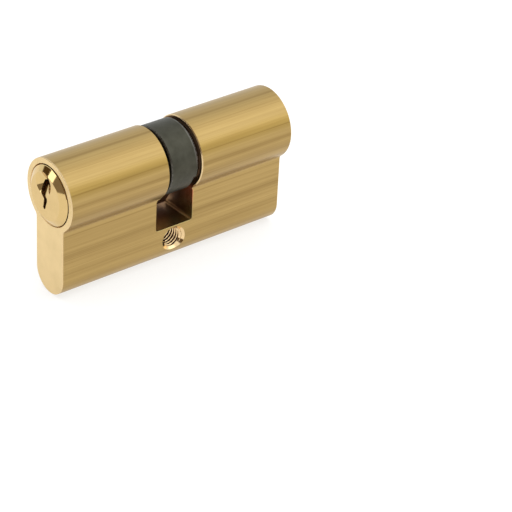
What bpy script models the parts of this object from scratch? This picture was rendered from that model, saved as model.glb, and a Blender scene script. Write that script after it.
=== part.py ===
"""Euro-profile double lock cylinder, 30/30, 60 mm long, with five pin stacks on each side.

Metres, +Z up. The origin is on the plug axis at the middle of the housing. +X runs along the plug axis
from the front plug to the rear plug, and the leg points down. The pins stand at the shear line, as they
do with the right key in, and the front clutch is in the cam.
"""

from math import asin, atan2, cos, degrees, pi, radians, sin, sqrt

import bmesh
import bpy
from mathutils import Vector

MM = 0.001

# Housing: the standard euro profile
HALF_LENGTH = 30.0
HEAD_RADIUS = 8.5
LEG_HALF_WIDTH = 5.0
PROFILE_HEIGHT = 33.0
FOOT_CENTRE_Z = HEAD_RADIUS - PROFILE_HEIGHT + LEG_HALF_WIDTH
NECK_FILLET = 1.3

# Middle: the slot that holds the cam, and the window that its lever swings through
CAM_MIDDLE = 0.25
SLOT_HALF = 4.4
WINDOW_HALF = 5.0
WINDOW_FLOOR_Z = -15.2
WINDOW_TOP_Z = -7.15
WINDOW_CORNER = 0.7

# Fixing screw hole, M5 through the leg
SCREW_Z = -18.6
SCREW_MINOR_RADIUS = 2.1
SCREW_SINK_RADIUS = 3.1
SCREW_SINK_DEPTH = 1.0

# Plugs
PLUG_RADIUS = 6.45
PLUG_BORE_RADIUS = 6.6
FLANGE_RADIUS = 6.95
FLANGE_SEAT_RADIUS = 7.12
FLANGE_SEAT_DEPTH = 1.4
FLANGE_GAP = 0.15
PLUG_PROUD = 1.1
RIM_CHAMFER_RADIAL = 1.5
RIM_CHAMFER_AXIAL = 1.0
NECK_RADIUS = 5.6
NECK_END = 1.55
RING_GROOVE = (3.62, 4.35)
RING_GROOVE_RADIUS = 5.25
CLUTCH_SLOT_HALF = 1.6
CLUTCH_SLOT_DEPTH = 5.35

# Keyway, as (y, z) seen along +X, and the countersink round its head
KEYWAY = [
    (1.87, 2.45), (1.65, 3.2), (0.95, 3.5), (-0.3, 3.4), (-0.95, 3.1), (-0.95, 2.6), (-0.5, 2.5), (0.2, 2.55),
    (0.75, 2.2), (0.9, 1.75), (0.75, 1.2), (0.35, 0.75), (-0.2, 0.3), (-0.7, -0.25), (-0.7, -0.9), (-0.33, -1.9),
    (-0.08, -2.9), (0.38, -3.15), (0.76, -2.8), (0.6, -2.0), (0.4, -0.6), (1.7, 0.55), (1.87, 1.5),
]
SINK_CENTRE = (0.7, 3.05)
SINK_RADIUS = 2.85
SINK_SLOPE = 0.6

# Pin stacks
STACK_COUNT = 5
STACK_FIRST = 9.5
STACK_PITCH = 4.0
CHAMBER_RADIUS = 1.5
CHAMBER_TOP_Z = -0.5
PIN_RADIUS = 1.25
PIN_EDGE = 0.15
KEY_PIN_BASE_Z = -6.3
KEY_PIN_LENGTHS = (3.2, 4.4, 3.8, 5.0, 3.5)
KEY_PIN_TIP = 0.9
DRIVER_TOP_Z = -6.55
DRIVER_LENGTH = 4.4
SPOOL_STACKS = (1, 3)
SPOOL_WAIST_RADIUS = 0.85
SPOOL_LAND = DRIVER_LENGTH / 4
SPRING_GAP = 0.12
SPRING_RADIUS = 1.0
SPRING_WIRE_RADIUS = 0.17
SPRING_TURNS = 6
SPRING_STEPS = 8
SPRING_SIDES = 4
CHAMBER_PLUG_TOP_Z = -21.5
CHAMBER_PLUG_BASE_Z = -24.25
CHAMBER_PLUG_RADIUS = 1.4
CHAMBER_PLUG_EDGE = 0.2

# Cam
CAM_HALF_WIDTH = 3.55
CAM_RADIUS = 8.1
CAM_REACH = 15.0
CAM_EDGE = 0.25
CAM_POCKET_RADIUS = 5.78
CAM_WEB_HALF = 1.25
CAM_WEB_BORE_RADIUS = 3.6
CAM_WEB_SLOT_HALF_LENGTH = 5.0
LEVER_ROOT_HALF = 3.7
LEVER_TIP_HALF = 3.0
LEVER_TIP_CORNER = 0.8
LEVER_LEAN = 25.0
NOTCH_ANGLES = (197.0, 236.0)
NOTCH_DEPTH = 1.0

# Clutch dogs: the two noses meet at CLUTCH_MEET, and the front dog is in the cam's web
CLUTCH_MEET = 0.95
CLUTCH_BAR_LENGTH = 3.6
CLUTCH_BAR_HALF_WIDTH = 1.45
CLUTCH_BAR_HALF_HEIGHT = 4.8
CLUTCH_NOSE_LENGTH = 0.5
CLUTCH_NOSE_RADIUS = 3.4
CLUTCH_NOSE_GAP = 0.03
CLUTCH_NOSE_ROOT = 0.05

# Retaining rings
RING_INNER_RADIUS = 5.35
RING_OUTER_RADIUS = 7.1
RING_SPAN = (3.83, 4.27)
RING_OPENING = 70.0

# Facets: sides of a turned solid, and degrees between an arc's points
ROUND = 48
MIDDLE_ROUND = 24
SMALL_ROUND = 16
ARC_STEP = 7.5
CORNER_STEP = 22.5
OVERSHOOT = 1.0
SHARP_ANGLE = radians(35)

BRASS = ("satin_brass", (0.60, 0.44, 0.20), 0.34)
BRIGHT_BRASS = ("polished_brass", (0.72, 0.54, 0.26), 0.18)
DARK_STEEL = ("sintered_steel", (0.06, 0.06, 0.06), 0.5)
SPRING_STEEL = ("spring_steel", (0.45, 0.45, 0.46), 0.3)
NICKEL_SILVER = ("nickel_silver", (0.62, 0.59, 0.54), 0.28)


def clear_scene():
    for obj in list(bpy.data.objects):
        bpy.data.objects.remove(obj, do_unlink=True)


def material(finish):
    name, colour, roughness = finish
    made = bpy.data.materials.get(name)
    if made is None:
        made = bpy.data.materials.new(name)
        made.use_nodes = True
        shader = made.node_tree.nodes["Principled BSDF"]
        shader.inputs["Base Color"].default_value = (*colour, 1.0)
        shader.inputs["Metallic"].default_value = 1.0
        shader.inputs["Roughness"].default_value = roughness
    return made


def mesh_object(name, points, faces, finish, place=(0.0, 0.0, 0.0)):
    """An object from points in millimetres about its own origin, which place puts in the part's frame."""
    mesh = bpy.data.meshes.new(name)
    mesh.from_pydata([Vector(p) * MM for p in points], [], faces)
    work = bmesh.new()
    work.from_mesh(mesh)
    bmesh.ops.recalc_face_normals(work, faces=work.faces)
    work.to_mesh(mesh)
    work.free()
    mesh.shade_smooth()
    mesh.set_sharp_from_angle(angle=SHARP_ANGLE)
    obj = bpy.data.objects.new(name, mesh)
    obj.location = Vector(place) * MM
    bpy.context.collection.objects.link(obj)
    if finish:
        mesh.materials.append(material(finish))
    else:
        obj.hide_render = True
        obj.display_type = "WIRE"
    return obj


def circle(radius, count, start=0.0):
    """Points round a whole circle about the origin of a plane."""
    angles = [radians(start + 360.0 * k / count) for k in range(count)]
    return [(radius * cos(a), radius * sin(a)) for a in angles]


def arc(radius, start, stop, centre=(0.0, 0.0), step=ARC_STEP):
    """Points of an arc in a plane, from start to stop in degrees, with both its ends."""
    count = max(1, round(abs(stop - start) / step))
    angles = [radians(start + (stop - start) * k / count) for k in range(count + 1)]
    return [(centre[0] + radius * cos(a), centre[1] + radius * sin(a)) for a in angles]


def skin_sections(sections):
    """Points and faces of a solid through sections with the same number of points each."""
    count = len(sections[0])
    points = [p for section in sections for p in section]
    faces = [tuple(reversed(range(count)))]
    for level in range(len(sections) - 1):
        low = level * count
        high = low + count
        for k in range(count):
            after = (k + 1) % count
            faces.append((low + k, low + after, high + after, high + k))
    top = (len(sections) - 1) * count
    faces.append(tuple(range(top, top + count)))
    return points, faces


def prism_x(name, outline, x_start, x_end, finish):
    """A solid with a (y, z) outline between two places on X."""
    sections = [[(x, y, z) for y, z in outline] for x in (x_start, x_end)]
    return mesh_object(name, *skin_sections(sections), finish)


def turned(name, profile, finish, axis="X", centre=(0.0, 0.0, 0.0), count=ROUND):
    """A solid turned round an axis. The profile is (place on the axis, radius)."""
    points = []
    rows = []
    half_step = 180.0 / count
    for place, radius in profile:
        if radius == 0.0:
            rows.append([len(points)] * count)
            points.append((place, 0.0, 0.0))
            continue
        rows.append(list(range(len(points), len(points) + count)))
        points.extend((place, a, b) for a, b in circle(radius, count, half_step))
    faces = []
    for row, after in zip(rows, rows[1:]):
        for k in range(count):
            turn = (k + 1) % count
            corners = dict.fromkeys((row[k], row[turn], after[turn], after[k]))
            faces.append(tuple(corners))
    order = {"X": (0, 1, 2), "Y": (1, 0, 2), "Z": (1, 2, 0)}[axis]
    points = [tuple(p[i] for i in order) for p in points]
    return mesh_object(name, points, faces, finish, centre)


def box(name, low, high, finish):
    outline = [(low[1], low[2]), (high[1], low[2]), (high[1], high[2]), (low[1], high[2])]
    return prism_x(name, outline, low[0], high[0], finish)


def combine(target, tool, operation="DIFFERENCE"):
    modifier = target.modifiers.new(tool.name, "BOOLEAN")
    modifier.operation = operation
    modifier.solver = "EXACT"
    modifier.object = tool


def along(side, distance):
    """A place on X that lies a distance from the cam's middle, towards the front (-1) or the rear (1)."""
    return CAM_MIDDLE + side * distance


def stack_places(side):
    return [side * (STACK_FIRST + STACK_PITCH * n) for n in range(STACK_COUNT)]


def euro_profile():
    """The housing's (y, z) outline: round head, filleted necks, flat leg and round foot."""
    side = LEG_HALF_WIDTH + NECK_FILLET
    neck_z = -sqrt((HEAD_RADIUS + NECK_FILLET) ** 2 - side**2)
    touch = degrees(atan2(-neck_z, side))
    outline = arc(NECK_FILLET, 180.0, 180.0 - touch, (side, neck_z))
    outline += arc(HEAD_RADIUS, -touch, 180.0 + touch)[1:-1]
    outline += arc(NECK_FILLET, touch, 0.0, (-side, neck_z))
    return outline + arc(LEG_HALF_WIDTH, 180.0, 360.0, (0.0, FOOT_CENTRE_Z))


def rounded_box_outline(half_width, low, high, corner):
    """A (x, z) outline whose lower and upper corners are round."""
    spots = [(half_width - corner, low + corner, -90.0), (half_width - corner, high - corner, 0.0),
             (corner - half_width, high - corner, 90.0), (corner - half_width, low + corner, 180.0)]
    outline = []
    for x, z, start in spots:
        outline += arc(corner, start, start + 90.0, (x, z), CORNER_STEP)
    return outline


def housing():
    body = prism_x("housing", euro_profile(), -HALF_LENGTH, HALF_LENGTH, BRASS)
    past = HALF_LENGTH + OVERSHOOT
    seat = HALF_LENGTH - FLANGE_SEAT_DEPTH
    bore = [(-past, 0.0), (-past, FLANGE_SEAT_RADIUS), (-seat, FLANGE_SEAT_RADIUS), (-seat, PLUG_BORE_RADIUS),
            (seat, PLUG_BORE_RADIUS), (seat, FLANGE_SEAT_RADIUS), (past, FLANGE_SEAT_RADIUS), (past, 0.0)]
    combine(body, turned("plug_bore_cutter", bore, None))
    wide = HEAD_RADIUS + OVERSHOOT
    slot = box("cam_slot_cutter", (along(-1, SLOT_HALF), -wide, WINDOW_TOP_Z - OVERSHOOT),
               (along(1, SLOT_HALF), wide, wide), None)
    combine(body, slot)
    outline = rounded_box_outline(WINDOW_HALF, WINDOW_FLOOR_Z, WINDOW_TOP_Z, WINDOW_CORNER)
    deep = LEG_HALF_WIDTH + OVERSHOOT
    sections = [[(x, y, z) for x, z in outline] for y in (-deep, deep)]
    combine(body, mesh_object("window_cutter", *skin_sections(sections), None))
    slope = (SCREW_SINK_RADIUS - SCREW_MINOR_RADIUS) / SCREW_SINK_DEPTH
    mouth = SCREW_SINK_RADIUS + OVERSHOOT * slope
    waist = LEG_HALF_WIDTH - SCREW_SINK_DEPTH
    hole = [(-deep, 0.0), (-deep, mouth), (-waist, SCREW_MINOR_RADIUS), (waist, SCREW_MINOR_RADIUS),
            (deep, mouth), (deep, 0.0)]
    combine(body, turned("screw_hole_cutter", hole, None, "Y", (0.0, 0.0, SCREW_Z), MIDDLE_ROUND))
    for side in (-1, 1):
        for n, x in enumerate(stack_places(side)):
            top = OVERSHOOT - PLUG_BORE_RADIUS
            chamber = [(-PROFILE_HEIGHT, 0.0), (-PROFILE_HEIGHT, CHAMBER_RADIUS),
                       (top, CHAMBER_RADIUS), (top, 0.0)]
            name = f"housing_chamber_cutter_{side}_{n}"
            combine(body, turned(name, chamber, None, "Z", (x, 0.0, 0.0), SMALL_ROUND))
    return body


def plug(name, side):
    """One plug: flange proud of the housing, body with pin chambers, groove and neck with the clutch slot."""
    face = HALF_LENGTH + PLUG_PROUD - side * CAM_MIDDLE
    seat = HALF_LENGTH - side * CAM_MIDDLE - FLANGE_SEAT_DEPTH + FLANGE_GAP
    profile = [
        (NECK_END, 0.0), (NECK_END, NECK_RADIUS), (RING_GROOVE[0], NECK_RADIUS),
        (RING_GROOVE[0], RING_GROOVE_RADIUS), (RING_GROOVE[1], RING_GROOVE_RADIUS),
        (RING_GROOVE[1], PLUG_RADIUS), (seat, PLUG_RADIUS), (seat, FLANGE_RADIUS),
        (face - RIM_CHAMFER_AXIAL, FLANGE_RADIUS), (face, FLANGE_RADIUS - RIM_CHAMFER_RADIAL), (face, 0.0),
    ]
    profile = [(along(side, distance), radius) for distance, radius in profile]
    body = turned(name, profile, BRIGHT_BRASS)
    ends = sorted((along(side, NECK_END - OVERSHOOT), along(side, face + OVERSHOOT)))
    # The rear plug is the front one turned end for end about Z, so its keyway is mirrored in Y.
    outline = [(-side * y, z) for y, z in KEYWAY]
    combine(body, prism_x(f"{name}_keyway_cutter", outline, *ends, None))
    cone_depth = SINK_RADIUS * SINK_SLOPE
    sink = [(-cone_depth, 0.0), (OVERSHOOT, SINK_RADIUS + OVERSHOOT / SINK_SLOPE), (OVERSHOOT, 0.0)]
    sink = [(side * place, radius) for place, radius in sink]
    centre = (along(side, face), -side * SINK_CENTRE[0], SINK_CENTRE[1])
    combine(body, turned(f"{name}_sink_cutter", sink, None, centre=centre))
    ends = sorted((along(side, NECK_END - OVERSHOOT), along(side, CLUTCH_SLOT_DEPTH)))
    low = (ends[0], -CLUTCH_SLOT_HALF, -HEAD_RADIUS)
    high = (ends[1], CLUTCH_SLOT_HALF, HEAD_RADIUS)
    combine(body, box(f"{name}_clutch_cutter", low, high, None))
    for n, x in enumerate(stack_places(side)):
        chamber = [(-HEAD_RADIUS, 0.0), (-HEAD_RADIUS, CHAMBER_RADIUS),
                   (CHAMBER_TOP_Z - CHAMBER_RADIUS / 2, CHAMBER_RADIUS), (CHAMBER_TOP_Z, 0.0)]
        cutter = turned(f"{name}_chamber_cutter_{n}", chamber, None, "Z", (x, 0.0, 0.0), SMALL_ROUND)
        combine(body, cutter)
    return body


def key_pin(name, x, n):
    length = KEY_PIN_LENGTHS[n]
    profile = [(0.0, 0.0), (0.0, PIN_RADIUS), (length - KEY_PIN_TIP, PIN_RADIUS),
               (length - KEY_PIN_TIP / 3, PIN_RADIUS / 2), (length, 0.0)]
    return turned(name, profile, BRIGHT_BRASS, "Z", (x, 0.0, KEY_PIN_BASE_Z), SMALL_ROUND)


def driver_pin(name, x, n):
    base = -DRIVER_LENGTH
    end_radius = PIN_RADIUS - PIN_EDGE
    profile = [(base, 0.0), (base, end_radius), (base + PIN_EDGE, PIN_RADIUS)]
    if n in SPOOL_STACKS:
        profile += [(base + SPOOL_LAND, PIN_RADIUS), (base + SPOOL_LAND, SPOOL_WAIST_RADIUS),
                    (-SPOOL_LAND, SPOOL_WAIST_RADIUS), (-SPOOL_LAND, PIN_RADIUS)]
    profile += [(-PIN_EDGE, PIN_RADIUS), (0.0, end_radius), (0.0, 0.0)]
    return turned(name, profile, NICKEL_SILVER, "Z", (x, 0.0, DRIVER_TOP_Z), SMALL_ROUND)


def spring(name, x):
    """A compression spring, its wire swept along a helix. Its origin is at its fixed lower end."""
    low = SPRING_WIRE_RADIUS
    high = DRIVER_TOP_Z - DRIVER_LENGTH - SPRING_GAP - spring_foot_z() - SPRING_WIRE_RADIUS
    total = SPRING_TURNS * SPRING_STEPS
    sections = []
    for k in range(total + 1):
        turn = 2 * pi * k / SPRING_STEPS
        out = Vector((cos(turn), sin(turn), 0.0))
        middle = out * SPRING_RADIUS + Vector((0.0, 0.0, low + (high - low) * k / total))
        ring = circle(SPRING_WIRE_RADIUS, SPRING_SIDES)
        sections.append([tuple(middle + out * a + Vector((0.0, 0.0, b))) for a, b in ring])
    return mesh_object(name, *skin_sections(sections), SPRING_STEEL, (x, 0.0, spring_foot_z()))


def spring_foot_z():
    return CHAMBER_PLUG_TOP_Z + SPRING_GAP


def chamber_plug(name, x):
    low = CHAMBER_PLUG_BASE_Z
    high = CHAMBER_PLUG_TOP_Z
    edge = CHAMBER_PLUG_EDGE
    profile = [(low, 0.0), (low, CHAMBER_PLUG_RADIUS), (high - edge, CHAMBER_PLUG_RADIUS),
               (high, CHAMBER_PLUG_RADIUS - edge), (high, 0.0)]
    return turned(name, profile, BRASS, "Z", (x, 0.0, 0.0), SMALL_ROUND)


def cam_outline(inset):
    """The cam's (y, z) outline with its lever straight down, drawn in by an inset along its whole edge."""
    ring = CAM_RADIUS - inset
    root = LEVER_ROOT_HALF - inset
    tip = LEVER_TIP_HALF - inset
    reach = CAM_REACH - inset
    root_angle = degrees(asin(root / ring))
    points = arc(ring, root_angle - 90.0, 270.0 - root_angle)
    corner = LEVER_TIP_CORNER
    turn_radius = reach - corner
    swing = asin((tip - corner) / turn_radius)
    left = (-turn_radius * sin(swing), -turn_radius * cos(swing))
    right = (-left[0], left[1])
    points += arc(corner, 180.0, 270.0 - degrees(swing), left, CORNER_STEP)
    half = degrees(swing) / 2
    points += arc(reach, 270.0 - half, 270.0 + half)
    points += arc(corner, 270.0 + degrees(swing), 360.0, right, CORNER_STEP)
    return points


def cam():
    """The ring with its lever, its origin on the plug axis. The lever leans from the leg to the far side."""
    lean = radians(LEVER_LEAN)
    sections = []
    for place, inset in ((-CAM_HALF_WIDTH, CAM_EDGE), (CAM_EDGE - CAM_HALF_WIDTH, 0.0),
                         (CAM_HALF_WIDTH - CAM_EDGE, 0.0), (CAM_HALF_WIDTH, CAM_EDGE)):
        upright = cam_outline(inset)
        leaned = [(y * cos(lean) - z * sin(lean), y * sin(lean) + z * cos(lean)) for y, z in upright]
        sections.append([(along(1, place), y, z) for y, z in leaned])
    body = mesh_object("cam", *skin_sections(sections), DARK_STEEL)
    past = CAM_HALF_WIDTH + OVERSHOOT
    bore = [(-past, 0.0), (-past, CAM_POCKET_RADIUS), (-CAM_WEB_HALF, CAM_POCKET_RADIUS),
            (-CAM_WEB_HALF, CAM_WEB_BORE_RADIUS), (CAM_WEB_HALF, CAM_WEB_BORE_RADIUS),
            (CAM_WEB_HALF, CAM_POCKET_RADIUS), (past, CAM_POCKET_RADIUS), (past, 0.0)]
    centre = (CAM_MIDDLE, 0.0, 0.0)
    combine(body, turned("cam_bore_cutter", bore, None, centre=centre))
    low = (along(-1, CAM_WEB_HALF + OVERSHOOT), -CLUTCH_SLOT_HALF, -CAM_WEB_SLOT_HALF_LENGTH)
    high = (along(1, CAM_WEB_HALF + OVERSHOOT), CLUTCH_SLOT_HALF, CAM_WEB_SLOT_HALF_LENGTH)
    combine(body, box("cam_dog_slot_cutter", low, high, None))
    inner = CAM_POCKET_RADIUS - OVERSHOOT
    outer = CAM_RADIUS + OVERSHOOT
    start, stop = NOTCH_ANGLES
    wedge = arc(outer, start, stop) + arc(inner, stop, start)
    rim = along(1, CAM_HALF_WIDTH - NOTCH_DEPTH)
    combine(body, prism_x("cam_notch_cutter", wedge, rim, rim + NOTCH_DEPTH + OVERSHOOT, None))
    return body


def clutch(name, side):
    """A sliding dog: a bar that turns with its plug, and a nose that pushes the other dog out of the cam."""
    meet = along(1, CLUTCH_MEET)
    shoulder = meet + side * CLUTCH_NOSE_LENGTH
    start, stop = sorted((shoulder, shoulder + side * CLUTCH_BAR_LENGTH))
    low = (start, -CLUTCH_BAR_HALF_WIDTH, -CLUTCH_BAR_HALF_HEIGHT)
    high = (stop, CLUTCH_BAR_HALF_WIDTH, CLUTCH_BAR_HALF_HEIGHT)
    body = box(name, low, high, SPRING_STEEL)
    root = shoulder + side * CLUTCH_NOSE_ROOT
    tip = meet + side * CLUTCH_NOSE_GAP
    profile = [(root, 0.0), (root, CLUTCH_NOSE_RADIUS), (tip, CLUTCH_NOSE_RADIUS), (tip, 0.0)]
    nose = turned(f"{name}_nose", profile, None, count=MIDDLE_ROUND)
    combine(body, nose, "UNION")
    return body


def retaining_ring(name, side):
    """A C-shaped ring in the plug's groove, open at the bottom."""
    start = RING_OPENING / 2 - 90.0
    stop = 270.0 - RING_OPENING / 2
    outline = arc(RING_OUTER_RADIUS, start, stop) + arc(RING_INNER_RADIUS, stop, start)
    ends = sorted(along(side, place) for place in RING_SPAN)
    return prism_x(name, outline, *ends, SPRING_STEEL)


def build():
    clear_scene()
    housing()
    cam()
    for end, side in (("front", -1), ("rear", 1)):
        plug(f"plug_{end}", side)
        clutch(f"clutch_{end}", side)
        retaining_ring(f"retaining_ring_{end}", side)
        for n, x in enumerate(stack_places(side)):
            number = n + 1
            key_pin(f"key_pin_{end}_{number}", x, n)
            driver_pin(f"driver_pin_{end}_{number}", x, n)
            spring(f"spring_{end}_{number}", x)
            chamber_plug(f"chamber_plug_{end}_{number}", x)


build()
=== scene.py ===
"""The looks of a euro-profile double lock cylinder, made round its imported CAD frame.

Shapes are in millimetres in the frame's own axes: +X along the plug axis from the front plug to the
rear one, +Z up, the leg pointing down. Each mesh keeps its place in its points, as the CAD nodes do.
"""

from math import asin, atan2, cos, degrees, pi, radians, sin, sqrt

import bmesh
import bpy
from mathutils import Matrix, Vector


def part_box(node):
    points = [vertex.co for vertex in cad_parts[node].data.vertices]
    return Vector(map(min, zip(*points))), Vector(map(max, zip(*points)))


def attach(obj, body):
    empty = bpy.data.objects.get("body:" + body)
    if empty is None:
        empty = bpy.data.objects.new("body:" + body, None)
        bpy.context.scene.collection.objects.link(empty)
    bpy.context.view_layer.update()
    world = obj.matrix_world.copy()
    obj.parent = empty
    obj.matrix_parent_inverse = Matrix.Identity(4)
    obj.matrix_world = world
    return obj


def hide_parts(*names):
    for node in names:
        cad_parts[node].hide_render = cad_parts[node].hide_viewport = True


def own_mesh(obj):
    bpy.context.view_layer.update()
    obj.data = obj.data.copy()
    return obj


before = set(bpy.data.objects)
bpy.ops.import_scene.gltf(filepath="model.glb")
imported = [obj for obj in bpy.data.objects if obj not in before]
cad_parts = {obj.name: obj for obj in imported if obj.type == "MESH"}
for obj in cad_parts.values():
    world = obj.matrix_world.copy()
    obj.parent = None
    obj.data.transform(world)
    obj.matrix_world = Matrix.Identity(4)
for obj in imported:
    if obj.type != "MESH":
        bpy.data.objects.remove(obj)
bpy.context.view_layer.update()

MM = 0.001


def node_box(node):
    """A CAD node's lowest and highest corner in millimetres."""
    low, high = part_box(node)
    return low / MM, high / MM


# Driving dimensions, read from the frame
HOUSING_LOW, HOUSING_HIGH = node_box("housing")
CAM_LOW, CAM_HIGH = node_box("cam")
FRONT_LOW, FRONT_HIGH = node_box("plug_front")
HALF_LENGTH = HOUSING_HIGH.x
HEAD_RADIUS = HOUSING_HIGH.z
FOOT_Z = HOUSING_LOW.z
CAM_MIDDLE = (CAM_LOW.x + CAM_HIGH.x) / 2
CAM_HALF_WIDTH = (CAM_HIGH.x - CAM_LOW.x) / 2
PLUG_PROUD = -HALF_LENGTH - FRONT_LOW.x
FLANGE_RADIUS = FRONT_HIGH.z

# Housing
LEG_HALF_WIDTH = 5.0
FOOT_CENTRE_Z = FOOT_Z + LEG_HALF_WIDTH
NECK_FILLET = 1.3
END_ROUNDING = 0.16
SLOT_HALF = 4.4
SLOT_CHAMFER = 0.22
RIM_REACH = 48.0  # the slot's broken edge runs this many degrees below the plug axis
WINDOW_HALF = 5.0
WINDOW_FLOOR_Z = -15.2
WINDOW_TOP_Z = -7.15
WINDOW_CORNER = 0.7
WINDOW_CHAMFER = 0.07
BORE_RADIUS = 6.6
SEAT_RADIUS = 7.12
SEAT_DEPTH = 1.4
SEAT_CHAMFER = 0.1

# Fixing screw hole: M5 coarse thread, given by its radii
SCREW_Z = -18.6
THREAD_MINOR = 2.1
THREAD_MAJOR = 2.55
THREAD_PITCH = 0.8
THREAD_STEEPNESS = 1.5
THREAD_CREST = 0.25
THREAD_SIDES = 80
THREAD_STEPS = 13
SCREW_SINK_RADIUS = 3.1
SCREW_SINK_DEPTH = 1.0
SCREW_SINK_FLOOR_Y = LEG_HALF_WIDTH - SCREW_SINK_DEPTH

# Plugs. Places along the plug axis are distances from the cam's middle
PLUG_RADIUS = 6.45
FLANGE_GAP = 0.15
RIM_CHAMFER_RADIAL = 1.5
RIM_CHAMFER_AXIAL = 1.0
RIM_SOFTNESS = 0.05
NECK_RADIUS = 5.6
NECK_END = 1.55
RING_GROOVE = (3.62, 4.35)
RING_GROOVE_RADIUS = 5.25
CLUTCH_SLOT_HALF = 1.6
CLUTCH_SLOT_END = 5.35
KEYWAY = [
    (1.87, 2.45), (1.65, 3.2), (0.95, 3.5), (-0.3, 3.4), (-0.95, 3.1), (-0.95, 2.6),
    (-0.5, 2.5), (0.2, 2.55), (0.75, 2.2), (0.9, 1.75), (0.75, 1.2), (0.35, 0.75),
    (-0.2, 0.3), (-0.7, -0.25), (-0.7, -0.9), (-0.33, -1.9), (-0.08, -2.9), (0.38, -3.15),
    (0.76, -2.8), (0.6, -2.0), (0.4, -0.6), (1.7, 0.55), (1.87, 1.5),
]
KEY_SINK_CENTRE = (0.7, 3.05)
KEY_SINK_RADIUS = 2.85
KEY_SINK_SLOPE = 0.6

# Pin stacks. The first one's distance from the origin and the pitch are along X
STACK_COUNT = 5
STACK_FIRST = 9.5
STACK_PITCH = 4.0
CHAMBER_RADIUS = 1.5
CHAMBER_TOP_Z = -0.5
SPRING_RADIUS = 1.0
SPRING_WIRE_RADIUS = 0.17
SPRING_TURNS = 6
SPRING_STEPS = 24
SPRING_SIDES = 10

# Cam
CAM_RADIUS = 8.1
CAM_REACH = 15.0
CAM_EDGE = 0.25
CAM_WORN_SLANT = (0.3, 0.9)  # a broken edge's normal along X
CAM_POCKET_RADIUS = 5.78
CAM_WEB_HALF = 1.25
CAM_WEB_BORE_RADIUS = 3.6
CAM_WEB_SLOT_HALF_LENGTH = 5.0
LEVER_ROOT_HALF = 3.7
LEVER_TIP_HALF = 3.0
LEVER_TIP_CORNER = 0.8
LEVER_LEAN = 25.0
NOTCH_ANGLES = (197.0, 236.0)
NOTCH_DEPTH = 1.0

# How far a cutter runs past a face, and a width too small to see
OVERSHOOT = 1.0
HAIR = 0.01

# Points in a full round or in an arc
FINE_ROUND = 192
MIDDLE_ROUND = 96
SMALL_ROUND = 48
HEAD_POINTS = 141
RIM_POINTS = 139
FOOT_POINTS = 61
FILLET_POINTS = 9
CAM_POINTS = 145
LEVER_CORNER_POINTS = 8
LEVER_END_POINTS = 9
NOTCH_POINTS = 12

# Shading
SHARP_ANGLE = radians(16)
FLAT_FACE_WEIGHT = 80


# ---------------------------------------------------------------- node materials

def add(tree, kind, inputs=None, **settings):
    """A shader node. An input that is a socket is linked, and any other is set."""
    made = tree.nodes.new(kind)
    for key, value in settings.items():
        setattr(made, key, value)
    for key, value in (inputs or {}).items():
        if isinstance(value, bpy.types.NodeSocket):
            tree.links.new(value, made.inputs[key])
        else:
            made.inputs[key].default_value = value
    return made


def maths(tree, operation, a, b=0.0):
    """The result of an operation on one or two values."""
    return add(tree, "ShaderNodeMath", {0: a, 1: b}, operation=operation).outputs[0]


def plus(tree, a, b):
    return maths(tree, "ADD", a, b)


def times(tree, a, b):
    return maths(tree, "MULTIPLY", a, b)


def diagonal(tree, a, b):
    """The length of a vector with these two parts."""
    return maths(tree, "SQRT", plus(tree, times(tree, a, a), times(tree, b, b)))


def along_axis(tree, way, axis):
    """How far a direction points along an axis, from -1 to 1."""
    made = add(tree, "ShaderNodeVectorMath", {0: way, 1: tuple(axis)}, operation="DOT_PRODUCT")
    return made.outputs["Value"]


def split(tree, vector):
    """A vector's X, Y and Z."""
    return tuple(add(tree, "ShaderNodeSeparateXYZ", {0: vector}).outputs)


def spread(tree, value, low, high, smooth=False):
    """A value from 0 to 1 between two levels of another."""
    kind = "SMOOTHSTEP" if smooth else "LINEAR"
    inputs = {"Value": value, "From Min": low, "From Max": high}
    return add(tree, "ShaderNodeMapRange", inputs, interpolation_type=kind).outputs[0]


def place_mm(tree, x=1.0, y=1.0, z=1.0):
    """The point's place in millimetres. A factor below 1 draws a noise out along that axis."""
    where = add(tree, "ShaderNodeTexCoord").outputs["Object"]
    inputs = {"Vector": where, "Scale": (x / MM, y / MM, z / MM)}
    return add(tree, "ShaderNodeMapping", inputs).outputs[0]


def noise(tree, where, size, detail=3.0, roughness=0.55):
    """Noise from 0 to 1 whose features are about as large as size, in millimetres."""
    inputs = {"Vector": where, "Scale": 1.0 / size, "Detail": detail, "Roughness": roughness}
    return add(tree, "ShaderNodeTexNoise", inputs).outputs[0]


# The sockets of a mix node that mixes colours
MIX_FACTOR = 0
MIX_LOW = 6
MIX_HIGH = 7
MIX_RESULT = 2


def opaque(colour):
    """A colour with its alpha. A socket stays as it is."""
    return colour if isinstance(colour, bpy.types.NodeSocket) else (*colour, 1.0)


def mix_colour(tree, factor, low, high, blend="MIX"):
    """Low where the factor is 0. Where it is 1, high, or low multiplied by high."""
    inputs = {MIX_FACTOR: factor, MIX_LOW: opaque(low), MIX_HIGH: opaque(high)}
    return add(tree, "ShaderNodeMix", inputs, data_type="RGBA", blend_type=blend).outputs[MIX_RESULT]


def metal(name):
    """A new metallic material: its node tree and its shader."""
    made = bpy.data.materials.new(name)
    made.use_nodes = True
    tree = made.node_tree
    shader = tree.nodes["Principled BSDF"]
    shader.inputs["Metallic"].default_value = 1.0
    return made, tree, shader


def bump(tree, shader, height, depth, strength):
    """Relief of a depth in millimetres, where the height goes from 0 to 1."""
    inputs = {"Height": height, "Distance": depth * MM, "Strength": strength}
    tree.links.new(add(tree, "ShaderNodeBump", inputs).outputs[0], shader.inputs["Normal"])


def link(tree, value, shader, name):
    tree.links.new(value, shader.inputs[name])


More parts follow.
